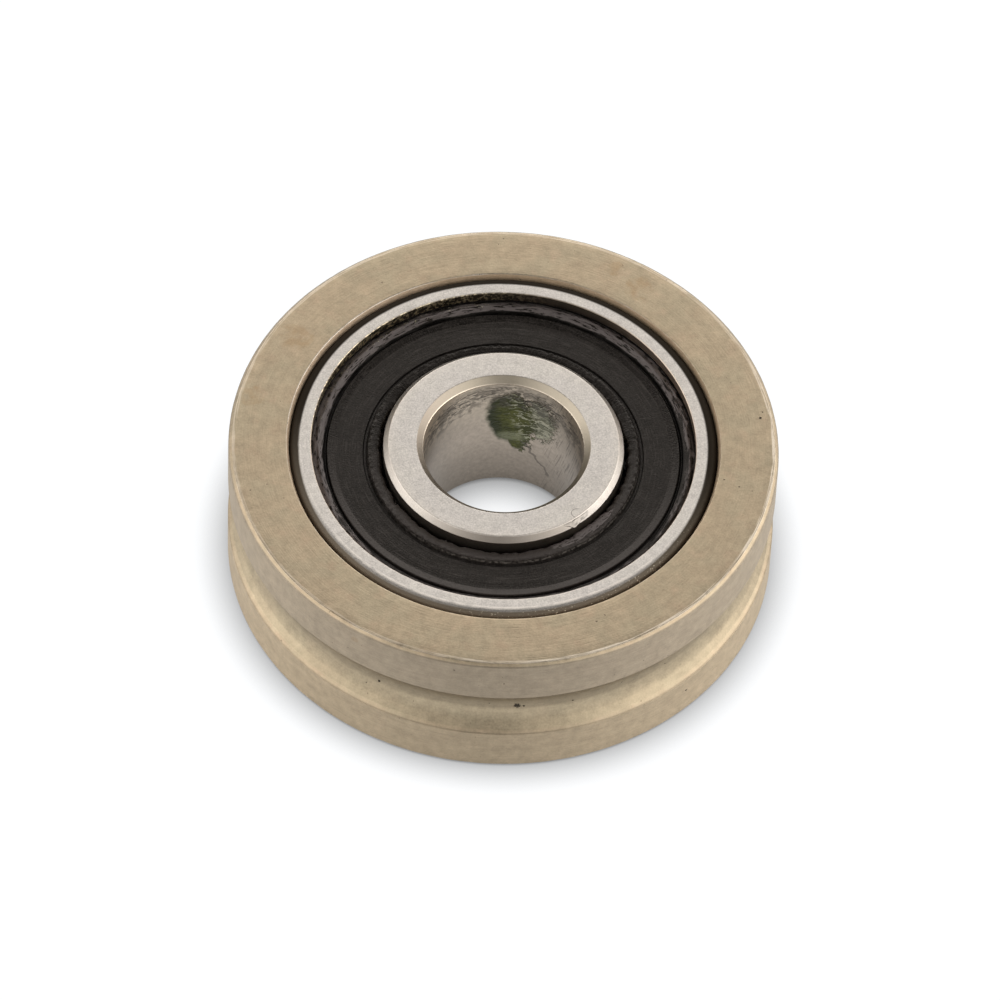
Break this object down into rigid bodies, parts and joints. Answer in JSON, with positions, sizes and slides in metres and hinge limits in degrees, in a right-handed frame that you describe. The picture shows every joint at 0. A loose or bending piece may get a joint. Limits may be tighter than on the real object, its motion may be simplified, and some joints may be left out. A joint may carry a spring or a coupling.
{
  "type": "v groove wheel",
  "caption": "Turned steel roller wheel with a shallow V groove round its rim, running on a sealed ball bearing with a bore for an axle.",
  "frame": {"origin": "centre of the bearing bore, halfway through the wheel's width", "axes": "+Z along the axis of rotation, out of the side that faces up when the wheel lies flat; X and Y in the wheel's mid plane, ball 1 on +X"},
  "size_m": [0.0164, 0.0162, 0.005],
  "materials": {
    "wheel_steel": "turned, with a warm olive-tan passivated plating",
    "ring_steel": "ground stainless steel",
    "ball_steel": "polished stainless steel",
    "cage_steel": "pressed stainless sheet",
    "rivet_steel": "headed stainless wire",
    "insert_steel": "pressed steel washer",
    "seal_rubber": "moulded black nitrile rubber"
  },
  "bodies": {
    "inner_race": {"inner_ring": "ring_steel"},
    "roller": {"wheel": "wheel_steel", "outer_ring": "ring_steel", "upper_seal": "seal_rubber", "lower_seal": "seal_rubber", "upper_seal_insert": "insert_steel", "lower_seal_insert": "insert_steel"},
    "cage": {"cage_upper_half": "cage_steel", "cage_lower_half": "cage_steel", "cage_rivet_1": "rivet_steel", "cage_rivet_2": "rivet_steel", "cage_rivet_3": "rivet_steel", "cage_rivet_4": "rivet_steel", "cage_rivet_5": "rivet_steel", "cage_rivet_6": "rivet_steel", "cage_rivet_7": "rivet_steel"},
    "rolling_ball_1": {"ball_1": "ball_steel"},
    "rolling_ball_2": {"ball_2": "ball_steel"},
    "rolling_ball_3": {"ball_3": "ball_steel"},
    "rolling_ball_4": {"ball_4": "ball_steel"},
    "rolling_ball_5": {"ball_5": "ball_steel"},
    "rolling_ball_6": {"ball_6": "ball_steel"},
    "rolling_ball_7": {"ball_7": "ball_steel"}
  },
  "joints": [
    {"name": "wheel_spin", "type": "hinge", "parent": "inner_race", "child": "roller", "pos_m": [0, 0, 0], "axis": [0, 0, 1], "continuous": true},
    {"name": "cage_spin", "type": "hinge", "parent": "inner_race", "child": "cage", "pos_m": [0, 0, 0], "axis": [0, 0, 1], "continuous": true},
    {"name": "ball_1_spin", "type": "hinge", "parent": "cage", "child": "rolling_ball_1", "pos_m": [0.00437, 0, 0], "axis": [0, 0, 1], "continuous": true},
    {"name": "ball_2_spin", "type": "hinge", "parent": "cage", "child": "rolling_ball_2", "pos_m": [0.00272, 0.00341, 0], "axis": [0, 0, 1], "continuous": true},
    {"name": "ball_3_spin", "type": "hinge", "parent": "cage", "child": "rolling_ball_3", "pos_m": [-0.00097, 0.00426, 0], "axis": [0, 0, 1], "continuous": true},
    {"name": "ball_4_spin", "type": "hinge", "parent": "cage", "child": "rolling_ball_4", "pos_m": [-0.00393, 0.00189, 0], "axis": [0, 0, 1], "continuous": true},
    {"name": "ball_5_spin", "type": "hinge", "parent": "cage", "child": "rolling_ball_5", "pos_m": [-0.00393, -0.00189, 0], "axis": [0, 0, 1], "continuous": true},
    {"name": "ball_6_spin", "type": "hinge", "parent": "cage", "child": "rolling_ball_6", "pos_m": [-0.00097, -0.00426, 0], "axis": [0, 0, 1], "continuous": true},
    {"name": "ball_7_spin", "type": "hinge", "parent": "cage", "child": "rolling_ball_7", "pos_m": [0.00272, -0.00341, 0], "axis": [0, 0, 1], "continuous": true}
  ],
  "couplings": [
    {"joint": "cage_spin", "follows": "wheel_spin", "ratio": 0.63636},
    {"joint": "ball_1_spin", "follows": "wheel_spin", "ratio": 1.697},
    {"joint": "ball_2_spin", "follows": "wheel_spin", "ratio": 1.697},
    {"joint": "ball_3_spin", "follows": "wheel_spin", "ratio": 1.697},
    {"joint": "ball_4_spin", "follows": "wheel_spin", "ratio": 1.697},
    {"joint": "ball_5_spin", "follows": "wheel_spin", "ratio": 1.697},
    {"joint": "ball_6_spin", "follows": "wheel_spin", "ratio": 1.697},
    {"joint": "ball_7_spin", "follows": "wheel_spin", "ratio": 1.697}
  ]
}
